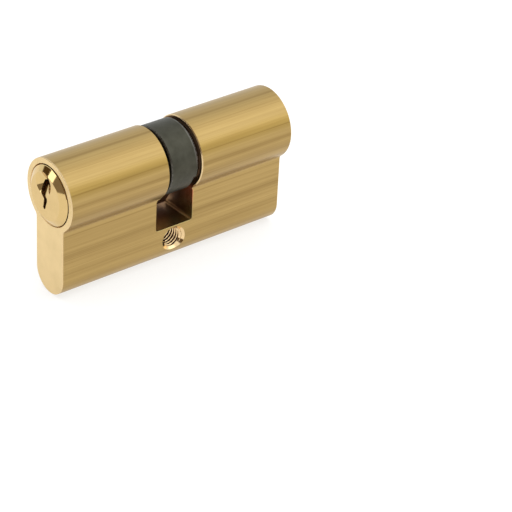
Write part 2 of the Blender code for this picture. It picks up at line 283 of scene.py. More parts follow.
def roughen(tree, shader, value, low, high):
    """Roughness from low to high as a value goes from 0 to 1."""
    inputs = {"Value": value, "To Min": low, "To Max": high}
    link(tree, add(tree, "ShaderNodeMapRange", inputs).outputs[0], shader, "Roughness")


def band(tree, value, place, half_width):
    """1 at a place on a value's scale, falling smoothly to 0 at a half width away."""
    away = maths(tree, "ABSOLUTE", maths(tree, "SUBTRACT", value, place))
    inputs = {"Value": away, "From Min": 0.0, "From Max": half_width, "To Min": 1.0, "To Max": 0.0}
    return add(tree, "ShaderNodeMapRange", inputs, interpolation_type="SMOOTHSTEP").outputs[0]


# Each finish's darker and lighter colour, or the one colour of a mark on it
DRAWN_COLOURS = ((0.318, 0.206, 0.072), (0.548, 0.380, 0.146))
FACED_COLOURS = ((0.715, 0.535, 0.265), (0.79, 0.595, 0.305))
CUT_COLOURS = ((0.50, 0.29, 0.11), (0.72, 0.46, 0.20))
MILLED_COLOURS = ((0.35, 0.275, 0.105), (0.48, 0.390, 0.160))
# copper red: a painted reflection of brass in the window's walls
COPPER_REFLECTION_COLOURS = ((0.88, 0.350, 0.165), (0.98, 0.450, 0.230))
# painted shade in the window and the cam slot
WINDOW_SHADE_COLOURS = ((0.165, 0.085, 0.034), (0.235, 0.125, 0.054))
THREAD_COLOURS = ((0.74, 0.50, 0.24), (0.93, 0.72, 0.42))
# painted shade in the thread's root
THREAD_ROOT_SHADE_COLOUR = (0.20, 0.095, 0.035)
EDGE_COLOURS = ((0.66, 0.47, 0.24), (0.80, 0.61, 0.35))
POLISHED_COLOURS = ((0.61, 0.430, 0.178), (0.71, 0.510, 0.230))
SINTERED_COLOURS = ((0.056, 0.053, 0.038), (0.078, 0.074, 0.055))
# painted highlight on the cam's rubbed rear edge
RUBBED_HIGHLIGHT_COLOUR = (0.17, 0.16, 0.14)
# painted reflection of brass on the cam's lever
BRASS_REFLECTION_COLOUR = (0.42, 0.23, 0.14)
WORN_COLOURS = ((0.040, 0.038, 0.032), (0.17, 0.162, 0.14))

# Most of a noise's values lie between these
NOISE_LOW, NOISE_HIGH = 0.3, 0.7

# Bands that the drawing die leaves along the bar: place, half width, lighter or darker.
# On the head the place is in degrees from the top towards the near side, and on the leg it is z.
HEAD_BANDS = [
    (7.5, 4.5, -0.22), (28.0, 8.0, -0.09), (36.0, 5.0, -0.06), (68.0, 4.5, -0.10),
    (76.0, 4.5, -0.02), (86.0, 7.0, -0.22), (104.0, 8.0, -0.14), (123.0, 5.0, -0.12),
    (-9.0, 5.0, -0.04), (-40.0, 8.0, -0.08), (-75.0, 12.0, 0.08),
    (9.3, 0.9, -0.14), (31.5, 0.9, -0.10), (67.0, 0.8, -0.20), (-24.0, 0.9, -0.12), (-61.0, 1.0, -0.14),
]
LEG_BANDS = [
    (-13.3, 1.3, -0.17), (-11.8, 0.6, 0.06), (-15.6, 0.5, 0.03), (-17.6, 0.6, -0.05),
    (-8.2, 0.16, -0.20), (-13.0, 0.14, -0.12), (-14.3, 0.14, -0.12), (-16.3, 0.12, -0.12),
    (-18.4, 0.14, -0.10),
]
BAND_CONTRAST = 2.0
# A warmer stretch on the head, placed as its bands are
WARM_PLACE = 63.0
WARM_HALF_WIDTH = 17.0
WARM_SHARE = 0.9
WARM_TINT = (0.98, 0.93, 0.66)
BAR_ANISOTROPY = 0.35


def drawn_brass():
    """The drawn bar's skin: bands, streaks and scratches along X, a little dull."""
    made, tree, shader = metal("drawn_brass")
    broad = noise(tree, place_mm(tree, x=0.006), size=1.3, detail=4.0, roughness=0.6)
    lines = noise(tree, place_mm(tree, x=0.008), size=0.30, detail=3.0, roughness=0.6)
    hair = noise(tree, place_mm(tree, x=0.015), size=0.10, detail=2.0, roughness=0.5)
    patch = noise(tree, place_mm(tree, x=0.12), size=1.4, detail=3.0, roughness=0.5)
    streak = plus(tree, times(tree, broad, 0.45), times(tree, lines, 0.35))
    streak = plus(tree, streak, times(tree, patch, 0.14))
    tone = spread(tree, streak, 0.25, 0.75)
    _, y, z = split(tree, place_mm(tree))
    turn = times(tree, maths(tree, "ARCTAN2", times(tree, y, -1.0), z), degrees(1.0))
    for value, bands in ((turn, HEAD_BANDS), (z, LEG_BANDS)):
        for place, half_width, strength in bands:
            lobe = band(tree, value, place, half_width)
            tone = plus(tree, tone, times(tree, lobe, BAND_CONTRAST * strength))
    colour = mix_colour(tree, tone, *DRAWN_COLOURS)
    warm = times(tree, band(tree, turn, WARM_PLACE, WARM_HALF_WIDTH), WARM_SHARE)
    link(tree, mix_colour(tree, warm, colour, WARM_TINT, blend="MULTIPLY"), shader, "Base Color")
    roughen(tree, shader, lines, low=0.26, high=0.42)
    shader.inputs["Anisotropic"].default_value = BAR_ANISOTROPY
    tangent = add(tree, "ShaderNodeTangent", direction_type="RADIAL", axis="X").outputs[0]
    link(tree, tangent, shader, "Tangent")
    relief = plus(tree, times(tree, lines, 0.6), times(tree, hair, 0.4))
    bump(tree, shader, relief, depth=0.014, strength=0.5)
    return made


def faced_brass():
    """The milled end faces: clean, pale, finely marked."""
    made, tree, shader = metal("faced_brass")
    grain = noise(tree, place_mm(tree, z=0.06), size=0.25, detail=3.0)
    cloud = noise(tree, place_mm(tree), size=5.0, detail=2.0)
    colour = mix_colour(tree, spread(tree, cloud, NOISE_LOW, NOISE_HIGH), *FACED_COLOURS)
    link(tree, colour, shader, "Base Color")
    roughen(tree, shader, grain, low=0.30, high=0.42)
    bump(tree, shader, grain, depth=0.01, strength=0.5)
    return made


def cut_brass():
    """Bores and keyways: turned or broached, not polished."""
    made, tree, shader = metal("cut_brass")
    grain = noise(tree, place_mm(tree, x=0.3), size=0.2, detail=3.0)
    colour = mix_colour(tree, grain, *CUT_COLOURS)
    link(tree, colour, shader, "Base Color")
    roughen(tree, shader, grain, low=0.24, high=0.4)
    bump(tree, shader, grain, depth=0.012, strength=0.5)
    return made


# Where a painted reflection of brass in brass turns the window's walls from brass to copper red, going up,
# and where painted shade darkens them further in and above the window
REFLECTION_RISE_Z = (WINDOW_FLOOR_Z + 1.5, WINDOW_TOP_Z - 1.0)
SHADE_DEPTH_Y = (-4.8, 0.6)
SHADE_HEIGHT_Z = (WINDOW_TOP_Z - 0.5, WINDOW_TOP_Z + 2.0)


def milled_brass():
    """The cam slot and the window: left as milled, with a painted copper-red reflection near the cam, and
    painted shade further in and above the window.
    """
    made, tree, shader = metal("milled_brass")
    grain = noise(tree, place_mm(tree, y=0.15), size=0.22, detail=3.0)
    _, y, z = split(tree, place_mm(tree))
    brass = mix_colour(tree, grain, *MILLED_COLOURS)
    copper_reflection = mix_colour(tree, grain, *COPPER_REFLECTION_COLOURS)
    shade_colour = mix_colour(tree, grain, *WINDOW_SHADE_COLOURS)
    # painted reflection: copper red going up the window's walls
    unshaded = mix_colour(tree, spread(tree, z, *REFLECTION_RISE_Z, smooth=True), brass, copper_reflection)
    # painted shade: darker deeper in the window, and up the slot walls above it
    inside = spread(tree, y, *SHADE_DEPTH_Y, smooth=True)
    above = spread(tree, z, *SHADE_HEIGHT_Z, smooth=True)
    painted_shade = maths(tree, "MAXIMUM", inside, above)
    colour = mix_colour(tree, painted_shade, unshaded, shade_colour)
    link(tree, colour, shader, "Base Color")
    roughen(tree, shader, grain, low=0.30, high=0.42)
    bump(tree, shader, grain, depth=0.012, strength=0.5)
    return made


# Where painted shade darkens the thread: from its flanks to its root (radius), and inside the countersinks
# (y)
ROOT_SHADE_RADIUS = (THREAD_MINOR + 0.08, THREAD_MAJOR - 0.12)
TAPPED_Y = (SCREW_SINK_FLOOR_Y + 0.25, SCREW_SINK_FLOOR_Y - 0.05)


def thread_brass():
    """The tapped hole and its countersinks: bright, with painted shade at the thread's root."""
    made, tree, shader = metal("thread_brass")
    grain = noise(tree, place_mm(tree), size=0.25, detail=3.0)
    colour = mix_colour(tree, grain, *THREAD_COLOURS)
    x, y, z = split(tree, place_mm(tree))
    radius = diagonal(tree, x, maths(tree, "SUBTRACT", z, SCREW_Z))
    # painted shade, darkest at the thread's root
    root = spread(tree, radius, *ROOT_SHADE_RADIUS, smooth=True)
    tapped = spread(tree, maths(tree, "ABSOLUTE", y), *TAPPED_Y)
    colour = mix_colour(tree, times(tree, root, tapped), colour, THREAD_ROOT_SHADE_COLOUR)
    link(tree, colour, shader, "Base Color")
    roughen(tree, shader, grain, low=0.10, high=0.2)
    bump(tree, shader, grain, depth=0.006, strength=0.4)
    return made


def edge_brass():
    """Broken edges, rubbed bright."""
    made, tree, shader = metal("edge_brass")
    grain = noise(tree, place_mm(tree), size=0.5, detail=3.0)
    colour = mix_colour(tree, grain, *EDGE_COLOURS)
    link(tree, colour, shader, "Base Color")
    roughen(tree, shader, grain, low=0.18, high=0.32)
    return made


def polished_brass():
    """Turned and polished: fine rings round the plug axis."""
    made, tree, shader = metal("polished_brass")
    x, y, z = split(tree, place_mm(tree))
    along_profile = add(tree, "ShaderNodeCombineXYZ", {0: x, 1: diagonal(tree, y, z), 2: 0.0}).outputs[0]
    rings = noise(tree, along_profile, size=0.12, detail=2.0)
    smear = noise(tree, place_mm(tree), size=1.6, detail=3.0)
    colour = mix_colour(tree, smear, *POLISHED_COLOURS)
    link(tree, colour, shader, "Base Color")
    roughen(tree, shader, smear, low=0.05, high=0.12)
    bump(tree, shader, rings, depth=0.004, strength=0.5)
    return made


# The cam is rubbed bare and carries a painted highlight from this far in front of its rear edge, and above
# these heights
RUBBED_HIGHLIGHT_INSET = (0.65, 0.4)
HIGHLIGHT_HEIGHT_Z = (-1.0, 4.0)
# A painted reflection of the brass around it browns the lever below these heights, and on the near side of
# these places on Y
BRASS_REFLECTION_Z = (-8.2, -9.2)
BRASS_REFLECTION_Y = (5.0, 3.6)


def sintered_steel():
    """The cam: pressed and sintered powder steel, dark, oiled, with a fine pore, a rubbed rear edge lightened
    on top by a painted highlight, and a painted reflection of brass on its lever.
    """
    made, tree, shader = metal("sintered_steel")
    pores = noise(tree, place_mm(tree), size=0.10, detail=3.0, roughness=0.7)
    cloud = noise(tree, place_mm(tree), size=2.2, detail=3.0)
    colour = mix_colour(tree, spread(tree, cloud, NOISE_LOW, NOISE_HIGH), *SINTERED_COLOURS)
    x, y, z = split(tree, place_mm(tree))
    # the rubbed rear edge, with a painted highlight on top only
    start, full = (CAM_MIDDLE + CAM_HALF_WIDTH - inset for inset in RUBBED_HIGHLIGHT_INSET)
    rubbed_highlight = times(tree, spread(tree, x, start, full, smooth=True), spread(tree, z, *HIGHLIGHT_HEIGHT_Z, smooth=True))
    rubbed_highlight = times(tree, rubbed_highlight, spread(tree, cloud, 0.2, 0.6))
    colour = mix_colour(tree, rubbed_highlight, colour, RUBBED_HIGHLIGHT_COLOUR)
    # painted reflection of the brass window on the lever's near side
    brass_reflection = times(tree, spread(tree, z, *BRASS_REFLECTION_Z, smooth=True), spread(tree, y, *BRASS_REFLECTION_Y, smooth=True))
    colour = mix_colour(tree, brass_reflection, colour, BRASS_REFLECTION_COLOUR)
    link(tree, colour, shader, "Base Color")
    roughen(tree, shader, pores, low=0.36, high=0.56)
    bump(tree, shader, pores, depth=0.012, strength=0.6)
    return made


def worn_steel():
    """The cam's edges, where the dark skin has worn through."""
    made, tree, shader = metal("worn_steel")
    wear = noise(tree, place_mm(tree), size=0.5, detail=4.0)
    colour = mix_colour(tree, spread(tree, wear, NOISE_LOW, NOISE_HIGH), *WORN_COLOURS)
    link(tree, colour, shader, "Base Color")
    roughen(tree, shader, wear, low=0.3, high=0.45)
    return made


def bright_metal(name, low, high, rough_low, rough_high):
    """Drawn wire, stamped steel or turned pins: fine grain in colour and gloss."""
    made, tree, shader = metal(name)
    grain = noise(tree, place_mm(tree, z=0.5), size=0.2, detail=3.0)
    link(tree, mix_colour(tree, grain, low, high), shader, "Base Color")
    roughen(tree, shader, grain, rough_low, rough_high)
    bump(tree, shader, grain, depth=0.006, strength=0.4)
    return made


DRAWN = drawn_brass()
FACED = faced_brass()
CUT = cut_brass()
MILLED = milled_brass()
THREAD = thread_brass()
EDGE = edge_brass()
POLISHED = polished_brass()
SINTERED = sintered_steel()
WORN = worn_steel()
SPRING = bright_metal("spring_wire", (0.36, 0.36, 0.37), (0.56, 0.56, 0.57), 0.2, 0.34)
NICKEL = bright_metal("nickel_silver", (0.52, 0.49, 0.43), (0.72, 0.69, 0.62), 0.18, 0.3)
PIN_BRASS = bright_metal("pin_brass", (0.62, 0.43, 0.19), (0.84, 0.63, 0.32), 0.16, 0.28)


# ---------------------------------------------------------------- mesh helpers

def mesh_object(name, points, faces, *materials):
    """An object from points in millimetres, in the frame's axes."""
    mesh = bpy.data.meshes.new(name)
    mesh.from_pydata([Vector(p) * MM for p in points], [], faces)
    work = bmesh.new()
    work.from_mesh(mesh)
    bmesh.ops.recalc_face_normals(work, faces=work.faces)
    work.to_mesh(mesh)
    work.free()
    obj = bpy.data.objects.new(name, mesh)
    bpy.context.collection.objects.link(obj)
    for material in materials:
        mesh.materials.append(material)
    return obj


def circle(radius, count, centre=(0.0, 0.0), start=0.0, stop=360.0, closed=True):
    """Points of an arc in a plane, from start to stop in degrees. A closed one leaves out its last point."""
    steps = count if closed else count - 1
    angles = [radians(start + (stop - start) * k / steps) for k in range(count)]
    return [(centre[0] + radius * cos(a), centre[1] + radius * sin(a)) for a in angles]


def skin_sections(sections):
    """Points and faces of a solid through sections with the same number of points each."""
    count = len(sections[0])
    points = [p for section in sections for p in section]
    faces = [tuple(reversed(range(count)))]
    for level in range(len(sections) - 1):
        low = level * count
        high = low + count
        for k in range(count):
            after = (k + 1) % count
            faces.append((low + k, low + after, high + after, high + k))
    top = (len(sections) - 1) * count
    faces.append(tuple(range(top, top + count)))
    return points, faces


def prism_x(name, outline, x_start, x_end, *materials):
    """A solid with a (y, z) outline, from one place on X to another."""
    sections = [[(x, y, z) for y, z in outline] for x in (x_start, x_end)]
    return mesh_object(name, *skin_sections(sections), *materials)


def turned(name, profile, *materials, axis="X", centre=(0.0, 0.0, 0.0), count=FINE_ROUND):
    """A solid turned round an axis. The profile is (place on the axis, radius)."""
    points = []
    rows = []
    half_step = 180.0 / count
    for place, radius in profile:
        if radius == 0.0:
            rows.append([len(points)] * count)
            points.append((place, 0.0, 0.0))
            continue
        rows.append(list(range(len(points), len(points) + count)))
        ring = circle(radius, count, start=half_step, stop=360.0 + half_step)
        points.extend((place, a, b) for a, b in ring)
    faces = []
    for row, after in zip(rows, rows[1:]):
        for k in range(count):
            turn = (k + 1) % count
            faces.append(tuple(dict.fromkeys((row[k], row[turn], after[turn], after[k]))))
    order = {"X": (0, 1, 2), "Y": (1, 0, 2), "Z": (1, 2, 0)}[axis]
    points = [tuple(p[i] + c for i, c in zip(order, centre)) for p in points]
    return mesh_object(name, points, faces, *materials)


def box(name, low, high, *materials):
    """A solid between two opposite corners."""
    outline = [(low[1], low[2]), (high[1], low[2]), (high[1], high[2]), (low[1], high[2])]
    return prism_x(name, outline, low[0], high[0], *materials)


def cut(target, tool):
    """A Boolean cut whose new faces keep the tool's material."""
    modifier = target.modifiers.new(tool.name, "BOOLEAN")
    modifier.operation = "DIFFERENCE"
    modifier.solver = "EXACT"
    modifier.material_mode = "TRANSFER"
    modifier.object = tool


def settle(obj):
    """Applies the cuts, removes their tools and sets the shading, with flat faces left flat."""
    tools = [m.object for m in obj.modifiers if m.type == "BOOLEAN"]
    graph = bpy.context.evaluated_depsgraph_get()
    mesh = bpy.data.meshes.new_from_object(obj.evaluated_get(graph), depsgraph=graph)
    obj.modifiers.clear()
    obj.data = mesh
    for tool in tools:
        bpy.data.objects.remove(tool, do_unlink=True)
    mesh.shade_smooth()
    mesh.set_sharp_from_angle(angle=SHARP_ANGLE)
    weighted = obj.modifiers.new("flat_faces_stay_flat", "WEIGHTED_NORMAL")
    weighted.keep_sharp = True
    weighted.weight = FLAT_FACE_WEIGHT


def keep(obj, body, node):
    """The piece stands for a CAD node and moves with that node's body."""
    settle(obj)
    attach(obj, body)
    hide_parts(node)
    return obj


def along(side, distance):
    """A place on X that lies a distance from the cam's middle, towards the front (-1) or the rear (1)."""
    return CAM_MIDDLE + side * distance


def stack_places(side):
    """Where the pin stacks of one side stand on X, from the cam outwards."""
    return [side * (STACK_FIRST + STACK_PITCH * n) for n in range(STACK_COUNT)]


# ---------------------------------------------------------------- pieces

def euro_profile(inset):
    """The housing's (y, z) outline with its neck fillets, drawn in by an inset along its whole edge."""
    side = LEG_HALF_WIDTH + NECK_FILLET
    neck_z = -sqrt((HEAD_RADIUS + NECK_FILLET) ** 2 - side**2)
    touch = degrees(atan2(-neck_z, side))
    fillet = NECK_FILLET + inset
    outline = circle(fillet, FILLET_POINTS, (side, neck_z), start=180.0, stop=180.0 - touch, closed=False)
    head = circle(HEAD_RADIUS - inset, HEAD_POINTS, start=-touch, stop=180.0 + touch, closed=False)
    outline += head[1:-1]
    outline += circle(fillet, FILLET_POINTS, (-side, neck_z), start=touch, stop=0.0, closed=False)
    foot_radius = LEG_HALF_WIDTH - inset
    outline += circle(foot_radius, FOOT_POINTS, (0.0, FOOT_CENTRE_Z), start=180.0, stop=360.0, closed=False)
    return outline


def window_outline(grown):
    """The window's (x, z) outline, with its corners round."""
    half = WINDOW_HALF + grown
    low = WINDOW_FLOOR_Z - grown
    high = WINDOW_TOP_Z + grown
    corner = WINDOW_CORNER + grown
    spots = [(half - corner, low + corner, -90.0), (half - corner, high - corner, 0.0),
             (corner - half, high - corner, 90.0), (corner - half, low + corner, 180.0)]
    outline = []
    for x, z, start in spots:
        outline += circle(corner, FILLET_POINTS, (x, z), start=start, stop=start + 90.0, closed=False)
    return outline


def thread_cutter():
    """The tapped hole: a V thread that climbs along Y, with a countersink at each side of the leg."""
    deep = LEG_HALF_WIDTH + OVERSHOOT
    sink_slope = (SCREW_SINK_RADIUS - THREAD_MINOR) / SCREW_SINK_DEPTH
    levels = 2 * round(deep / THREAD_PITCH * THREAD_STEPS)
    sections = []
    for level in range(levels + 1):
        y = -deep + 2 * deep * level / levels
        sink = max(0.0, abs(y) - SCREW_SINK_FLOOR_Y) * sink_slope
        section = []
        for n in range(THREAD_SIDES):
            turn = n / THREAD_SIDES
            phase = (y / THREAD_PITCH - turn) % 1.0
            rise = 1.0 - abs(2.0 * phase - 1.0)
            flank = min(1.0, max(0.0, THREAD_STEEPNESS * rise - THREAD_CREST))
            radius = THREAD_MINOR + max(flank * (THREAD_MAJOR - THREAD_MINOR), sink)
            section.append((radius * cos(2 * pi * turn), y, SCREW_Z + radius * sin(2 * pi * turn)))
        sections.append(section)
    return mesh_object("thread_cutter", *skin_sections(sections), THREAD)


def slot_rim(name, edge, side):
    """A cutter that breaks the head's edge at one side of the cam slot, from neck to neck."""
    inner = HEAD_RADIUS - SLOT_CHAMFER
    outer = HEAD_RADIUS + OVERSHOOT
    corners = [(edge, inner), (edge + side * (SLOT_CHAMFER + OVERSHOOT), outer),
               (edge - side * OVERSHOOT, outer), (edge - side * OVERSHOOT, inner)]
    rays = circle(1.0, RIM_POINTS, start=-RIM_REACH, stop=180.0 + RIM_REACH, closed=False)
    sections = [[(x, radius * y, radius * z) for x, radius in corners] for y, z in rays]
    return mesh_object(name, *skin_sections(sections), EDGE)


def housing_bar():
    """The drawn bar, cut to length with its ends' edges rounded."""
    turns = (0.0, radians(45), radians(90))
    steps = [(END_ROUNDING * (1 - cos(a)), END_ROUNDING * (1 - sin(a))) for a in turns]
    ends = [(-HALF_LENGTH + x, inset) for x, inset in steps]
    ends += [(-x, inset) for x, inset in reversed(ends)]
    sections = [[(x, y, z) for y, z in euro_profile(inset)] for x, inset in ends]
    return mesh_object("housing_body", *skin_sections(sections), DRAWN, FACED, EDGE)


def plug_bore_cutter():
    """The bore for both plugs, with a seat for each flange."""
    mouth = SEAT_RADIUS + SEAT_CHAMFER + OVERSHOOT
    seat = HALF_LENGTH - SEAT_DEPTH
    past = HALF_LENGTH + OVERSHOOT
    half = [(-past, 0.0), (-past, mouth), (-HALF_LENGTH + SEAT_CHAMFER, SEAT_RADIUS),
            (-seat, SEAT_RADIUS), (-seat, BORE_RADIUS)]
    return turned("plug_bore_cutter", half + [(-x, radius) for x, radius in reversed(half)], CUT)


def window_cutter():
    """The window through the leg, flared at both faces."""
    flare = WINDOW_CHAMFER + OVERSHOOT
    deep = LEG_HALF_WIDTH + OVERSHOOT
    face = LEG_HALF_WIDTH - WINDOW_CHAMFER
    levels = [(-deep, flare), (-face, 0.0), (face, 0.0), (deep, flare)]
    sections = [[(x, y, z) for x, z in window_outline(grown)] for y, grown in levels]
    return mesh_object("window_cutter", *skin_sections(sections), MILLED)


def housing():
    """The housing: the bar with its bores, cam slot, window, screw hole and pin chambers."""
    body = housing_bar()
    cut(body, plug_bore_cutter())
    wide = HEAD_RADIUS + OVERSHOOT
    front, rear = along(-1, SLOT_HALF), along(1, SLOT_HALF)
    low = (front, -wide, WINDOW_TOP_Z - OVERSHOOT / 2)
    cut(body, box("cam_slot_cutter", low, (rear, wide, wide), MILLED))
    cut(body, slot_rim("front_rim_cutter", front, -1))
    cut(body, slot_rim("rear_rim_cutter", rear, 1))
    cut(body, window_cutter())
    cut(body, thread_cutter())
    foot = FOOT_Z - OVERSHOOT
    top = -HEAD_RADIUS + OVERSHOOT
    chamber = [(foot, 0.0), (foot, CHAMBER_RADIUS), (top, CHAMBER_RADIUS), (top, 0.0)]
    for side in (-1, 1):
        for n, x in enumerate(stack_places(side)):
            name = f"chamber_cutter_{side}_{n}"
            cut(body, turned(name, chamber, CUT, axis="Z", centre=(x, 0.0, 0.0), count=SMALL_ROUND))
    paint_housing(keep(body, "housing", "housing"))


def paint_housing(body):
    """End faces and broken edges get their own brass."""
    names = [m.name for m in body.data.materials]
    drawn, faced, edge = (names.index(m.name) for m in (DRAWN, FACED, EDGE))
    for face in body.data.polygons:
        if face.material_index != drawn:
            continue
        middle = abs(face.center.x) / MM
        if middle > HALF_LENGTH - HAIR:
            face.material_index = faced
        elif middle > HALF_LENGTH - END_ROUNDING - HAIR:
            face.material_index = edge


def plug(end, side):
    """One plug: flange proud of the housing, body with pin chambers, groove and neck with the clutch slot."""
    name = f"plug_{end}"
    face = HALF_LENGTH + PLUG_PROUD - side * CAM_MIDDLE
    seat = HALF_LENGTH - side * CAM_MIDDLE - SEAT_DEPTH + FLANGE_GAP
    rim = face - RIM_CHAMFER_AXIAL
    soft = RIM_SOFTNESS
    groove_start, groove_end = RING_GROOVE
    profile = [
        (NECK_END, 0.0), (NECK_END, NECK_RADIUS), (groove_start, NECK_RADIUS),
        (groove_start, RING_GROOVE_RADIUS), (groove_end, RING_GROOVE_RADIUS), (groove_end, PLUG_RADIUS),
        (seat, PLUG_RADIUS), (seat, FLANGE_RADIUS), (rim - soft, FLANGE_RADIUS),
        (rim + soft * RIM_CHAMFER_AXIAL, FLANGE_RADIUS - soft * RIM_CHAMFER_RADIAL),
        (face - soft * RIM_CHAMFER_AXIAL, FLANGE_RADIUS - RIM_CHAMFER_RADIAL * (1 - soft)),
        (face, FLANGE_RADIUS - RIM_CHAMFER_RADIAL - soft), (face, 0.0),
    ]
    profile = [(along(side, distance), radius) for distance, radius in profile]
    body = turned(f"{name}_body", profile, POLISHED)
    ends = sorted((along(side, NECK_END - OVERSHOOT), along(side, face + OVERSHOOT)))
    outline = [(-side * y, z) for y, z in KEYWAY]
    cut(body, prism_x(f"{name}_keyway_cutter", outline, *ends, CUT))
    cone_depth = KEY_SINK_RADIUS * KEY_SINK_SLOPE
    sink = [(-cone_depth, 0.0), (OVERSHOOT, KEY_SINK_RADIUS + OVERSHOOT / KEY_SINK_SLOPE), (OVERSHOOT, 0.0)]
    sink = [(side * place, radius) for place, radius in sink]
    centre = (along(side, face), -side * KEY_SINK_CENTRE[0], KEY_SINK_CENTRE[1])
    cut(body, turned(f"{name}_sink_cutter", sink, POLISHED, centre=centre, count=MIDDLE_ROUND))
    ends = sorted((along(side, NECK_END - OVERSHOOT), along(side, CLUTCH_SLOT_END)))
    low = (ends[0], -CLUTCH_SLOT_HALF, -HEAD_RADIUS)
    high = (ends[1], CLUTCH_SLOT_HALF, HEAD_RADIUS)
    cut(body, box(f"{name}_clutch_cutter", low, high, CUT))
    chamber = [(-HEAD_RADIUS, 0.0), (-HEAD_RADIUS, CHAMBER_RADIUS),
               (CHAMBER_TOP_Z - CHAMBER_RADIUS / 2, CHAMBER_RADIUS), (CHAMBER_TOP_Z, 0.0)]
    for n, x in enumerate(stack_places(side)):
        tool = f"{name}_chamber_cutter_{n}"
        cut(body, turned(tool, chamber, CUT, axis="Z", centre=(x, 0.0, 0.0), count=SMALL_ROUND))
    keep(body, f"{end}_plug", name)


def cam_outline(inset):
    """The cam's (y, z) outline with its lever straight down, drawn in by an inset along its whole edge."""
    ring = CAM_RADIUS - inset
    root = LEVER_ROOT_HALF - inset
    tip = LEVER_TIP_HALF - inset
    reach = CAM_REACH - inset
    root_angle = degrees(asin(root / ring))
    points = circle(ring, CAM_POINTS, start=root_angle - 90.0, stop=270.0 - root_angle, closed=False)
    corner = LEVER_TIP_CORNER
    turn_radius = reach - corner
    swing = asin((tip - corner) / turn_radius)
    left = (-turn_radius * sin(swing), -turn_radius * cos(swing))
    right = (-left[0], left[1])
    swing = degrees(swing)
    points += circle(corner, LEVER_CORNER_POINTS, left, start=180.0, stop=270.0 - swing, closed=False)
    points += circle(reach, LEVER_END_POINTS, start=270.0 - swing / 2, stop=270.0 + swing / 2, closed=False)
    points += circle(corner, LEVER_CORNER_POINTS, right, start=270.0 + swing, stop=360.0, closed=False)
    return points


def cam_blank():
    """The cam before it is bored: the outline with its lever leaned, and its edges broken."""
    lean = radians(LEVER_LEAN)
    sections = []
    for place, inset in ((-CAM_HALF_WIDTH, CAM_EDGE), (CAM_EDGE - CAM_HALF_WIDTH, 0.0),
                         (CAM_HALF_WIDTH - CAM_EDGE, 0.0), (CAM_HALF_WIDTH, CAM_EDGE)):
        x = along(1, place)
        sections.append([(x, y * cos(lean) - z * sin(lean), y * sin(lean) + z * cos(lean))
                         for y, z in cam_outline(inset)])
    return mesh_object("cam_body", *skin_sections(sections), SINTERED, WORN)


def cam():
    """The cam: a pocket at each side, a slotted web for the clutch dogs, and a notch in its rear edge."""
    body = cam_blank()
    past = CAM_HALF_WIDTH + OVERSHOOT
    bore = [(-past, 0.0), (-past, CAM_POCKET_RADIUS), (-CAM_WEB_HALF, CAM_POCKET_RADIUS),
            (-CAM_WEB_HALF, CAM_WEB_BORE_RADIUS), (CAM_WEB_HALF, CAM_WEB_BORE_RADIUS),
            (CAM_WEB_HALF, CAM_POCKET_RADIUS), (past, CAM_POCKET_RADIUS), (past, 0.0)]
    centre = (CAM_MIDDLE, 0.0, 0.0)
    cut(body, turned("cam_bore_cutter", bore, SINTERED, centre=centre, count=MIDDLE_ROUND))
    low = (along(-1, CAM_WEB_HALF + OVERSHOOT), -CLUTCH_SLOT_HALF, -CAM_WEB_SLOT_HALF_LENGTH)
    high = (along(1, CAM_WEB_HALF + OVERSHOOT), CLUTCH_SLOT_HALF, CAM_WEB_SLOT_HALF_LENGTH)
    cut(body, box("cam_dog_slot_cutter", low, high, SINTERED))
    start, stop = NOTCH_ANGLES
    wedge = circle(CAM_RADIUS + OVERSHOOT, NOTCH_POINTS, start=start, stop=stop, closed=False)
    wedge += circle(CAM_POCKET_RADIUS - OVERSHOOT, NOTCH_POINTS, start=stop, stop=start, closed=False)
    rim = along(1, CAM_HALF_WIDTH - NOTCH_DEPTH)
    cut(body, prism_x("cam_notch_cutter", wedge, rim, rim + NOTCH_DEPTH + OVERSHOOT, SINTERED))
    paint_cam(keep(body, "cam", "cam"))


def paint_cam(body):
    """The broken edges of both rims are worn."""
    worn = [m.name for m in body.data.materials].index(WORN.name)
    for face in body.data.polygons:
        reach = abs(face.center.x / MM - CAM_MIDDLE)
        slanted = CAM_WORN_SLANT[0] < abs(face.normal.x) < CAM_WORN_SLANT[1]
        if CAM_HALF_WIDTH - CAM_EDGE < reach < CAM_HALF_WIDTH - HAIR and slanted:
            face.material_index = worn


def spring(end, number):
    """A pin stack's spring, a helix of wire between the foot and the head of its CAD node."""
    node = f"spring_{end}_{number}"
    low, high = node_box(node)
    x = (low.x + high.x) / 2
    foot = low.z + SPRING_WIRE_RADIUS
    head = high.z - SPRING_WIRE_RADIUS
    wire = circle(SPRING_WIRE_RADIUS, SPRING_SIDES)
    total = SPRING_TURNS * SPRING_STEPS
    sections = []
    for k in range(total + 1):
        turn = 2 * pi * k / SPRING_STEPS
        z = foot + (head - foot) * k / total
        sections.append([(x + (SPRING_RADIUS + a) * cos(turn), (SPRING_RADIUS + a) * sin(turn), z + b)
                         for a, b in wire])
    body = mesh_object(f"{node}_wire", *skin_sections(sections), SPRING)
    coil = keep(body, "housing", node)
    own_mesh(coil)


def repaint(node, material):
    """A carried-over CAD node keeps its shape and gets a finished material."""
    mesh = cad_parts[node].data
    mesh.materials.clear()
    mesh.materials.append(material)


def pieces():
    """Draws the seen pieces and the springs anew, and repaints the others."""
    housing()
    cam()
    for end, side in (("front", -1), ("rear", 1)):
        plug(end, side)
        repaint(f"clutch_{end}", SPRING)
        repaint(f"retaining_ring_{end}", SPRING)
        for number in range(1, STACK_COUNT + 1):
            repaint(f"key_pin_{end}_{number}", PIN_BRASS)
            repaint(f"driver_pin_{end}_{number}", NICKEL)
            spring(end, number)
            repaint(f"chamber_plug_{end}_{number}", CUT)


# ---------------------------------------------------------------- stage

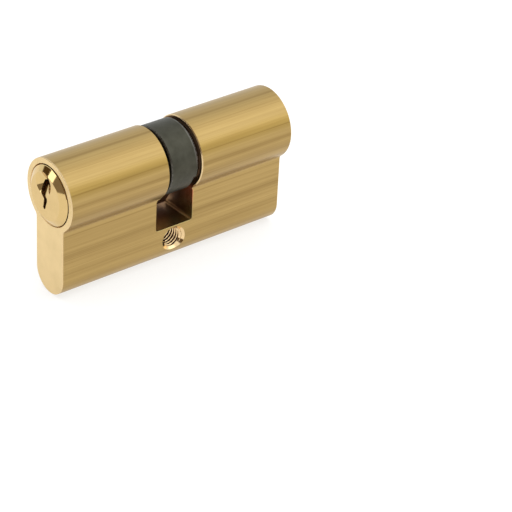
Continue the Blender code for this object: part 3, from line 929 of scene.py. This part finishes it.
FLOOR_HALF = 700.0
FLOOR_GAP = 0.02
FLOOR_COLOUR = (0.26, 0.26, 0.26, 1.0)
FLOOR_GLOW_COLOUR = (1.0, 0.99, 0.97, 1.0)
FLOOR_GLOW = 0.76
FLOOR_ROUGHNESS = 0.7
FLOOR_SPECULAR = 0.2


def floor():
    """A plain pale table just under the foot."""
    half = FLOOR_HALF
    z = FOOT_Z - FLOOR_GAP
    corners = [(-half, -half, z), (half, -half, z), (half, half, z), (-half, half, z)]
    obj = mesh_object("floor", corners, [(0, 1, 2, 3)])
    made = bpy.data.materials.new("pale_floor")
    made.use_nodes = True
    shader = made.node_tree.nodes["Principled BSDF"]
    shader.inputs["Base Color"].default_value = FLOOR_COLOUR
    shader.inputs["Emission Color"].default_value = FLOOR_GLOW_COLOUR
    shader.inputs["Emission Strength"].default_value = FLOOR_GLOW
    shader.inputs["Roughness"].default_value = FLOOR_ROUGHNESS
    shader.inputs["Specular IOR Level"].default_value = FLOOR_SPECULAR
    obj.data.materials.append(made)


# Round soft panels: direction from the object, inner and outer half angle, brightness
PANELS = [
    ((0.55, -0.38, 0.74), 14.0, 40.0, 0.74),
    ((-0.96, -0.10, 0.25), 24.0, 30.0, 0.20),
]

# The softbox: its direction, the way its short side runs, and its half angles in degrees
SOFTBOX_AIM = Vector((-0.823, 0.464, 0.328)).normalized()
SOFTBOX_ACROSS = (-0.473, -0.879, 0.055)
SOFTBOX_HALF_WIDTH = 8.0
SOFTBOX_HALF_HEIGHT = 16.0
SOFTBOX_EDGE = 0.7
SOFTBOX_LIGHT = 2.3

# The dome is dim up to this place on X and lit after it, and a dim light is tinted up to this brightness
DOME_EDGE = (-0.51, -0.45)
DIM_SIDE = 0.10
LIT_SIDE = 1.06
TINT_END = 0.45
DIM_TINT = (1.0, 0.62, 0.26)
LIT_TINT = (0.965, 1.0, 1.03)


def within(tree, way, axis, half_angle):
    """1 where a direction lies within a half angle of the plane across an axis."""
    reach = maths(tree, "ABSOLUTE", along_axis(tree, way, axis))
    start = sin(radians(half_angle + SOFTBOX_EDGE))
    return spread(tree, reach, start, sin(radians(half_angle)), smooth=True)


def softbox(tree, way):
    """A rectangular panel on the left, seen in the front plug's chamfer."""
    across = Vector(SOFTBOX_ACROSS)
    across = (across - SOFTBOX_AIM * across.dot(SOFTBOX_AIM)).normalized()
    wide = within(tree, way, across, SOFTBOX_HALF_WIDTH)
    tall = within(tree, way, SOFTBOX_AIM.cross(across), SOFTBOX_HALF_HEIGHT)
    ahead = maths(tree, "GREATER_THAN", along_axis(tree, way, SOFTBOX_AIM), 0.0)
    return times(tree, times(tree, times(tree, wide, tall), ahead), SOFTBOX_LIGHT)


def studio():
    """The world: a dome that is dim on the left and lit on the right, with soft panels."""
    world = bpy.data.worlds.new("studio")
    bpy.context.scene.world = world
    world.use_nodes = True
    tree = world.node_tree
    way = add(tree, "ShaderNodeTexCoord").outputs["Generated"]
    side = spread(tree, split(tree, way)[0], *DOME_EDGE, smooth=True)
    light = plus(tree, times(tree, side, LIT_SIDE - DIM_SIDE), DIM_SIDE)
    for direction, inner, outer, brightness in PANELS:
        facing = along_axis(tree, way, Vector(direction).normalized())
        lobe = spread(tree, facing, cos(radians(outer)), cos(radians(inner)), smooth=True)
        light = plus(tree, light, times(tree, lobe, brightness))
    light = plus(tree, light, softbox(tree, way))
    background = tree.nodes["Background"]
    tint = mix_colour(tree, spread(tree, light, DIM_SIDE, TINT_END), DIM_TINT, LIT_TINT)
    tree.links.new(tint, background.inputs["Color"])
    tree.links.new(light, background.inputs["Strength"])


# The lamp's size and height are in metres, and its power is in watts
LAMP_SIZE = 1.6
LAMP_HEIGHT = 1.2
LAMP_POWER = 9.0


def overhead():
    """A very wide soft light above. It lights the floor, and the metal doesn't mirror it."""
    data = bpy.data.lights.new("overhead", "AREA")
    data.shape = "DISK"
    data.size = LAMP_SIZE
    data.energy = LAMP_POWER
    lamp = bpy.data.objects.new("overhead", data)
    lamp.location = (0.0, 0.0, LAMP_HEIGHT)
    lamp.visible_glossy = False
    lamp.visible_camera = False
    bpy.context.collection.objects.link(lamp)


# The camera looks down at the front end and the near side: degrees, and millimetres
CAMERA_AZIMUTH = 40.483
CAMERA_DOWN = 31.752
CAMERA_ROLL = -3.188
CAMERA_AIM = (9.55, -22.44, -17.56)
CAMERA_DISTANCE = 487.33
CAMERA_LENS = 155.44
CAMERA_CLIP = (0.01, 20.0)  # metres


def camera():
    """The camera: turned, tilted and rolled about its aim, from a distance."""
    azimuth, down = radians(CAMERA_AZIMUTH), radians(CAMERA_DOWN)
    forward = Vector((sin(azimuth) * cos(down), cos(azimuth) * cos(down), -sin(down)))
    level = forward.cross(Vector((0.0, 0.0, 1.0))).normalized()
    turn = Matrix.Rotation(radians(CAMERA_ROLL), 3, forward)
    right = turn @ level
    up = right.cross(forward)
    data = bpy.data.cameras.new("camera")
    data.lens = CAMERA_LENS
    data.clip_start, data.clip_end = CAMERA_CLIP
    eye = bpy.data.objects.new("camera", data)
    place = (Vector(CAMERA_AIM) - forward * CAMERA_DISTANCE) * MM
    eye.matrix_world = Matrix.Translation(place) @ Matrix((right, up, -forward)).transposed().to_4x4()
    bpy.context.collection.objects.link(eye)
    bpy.context.scene.camera = eye


pieces()
floor()
studio()
overhead()
camera()
bpy.context.scene.view_settings.view_transform = "Standard"
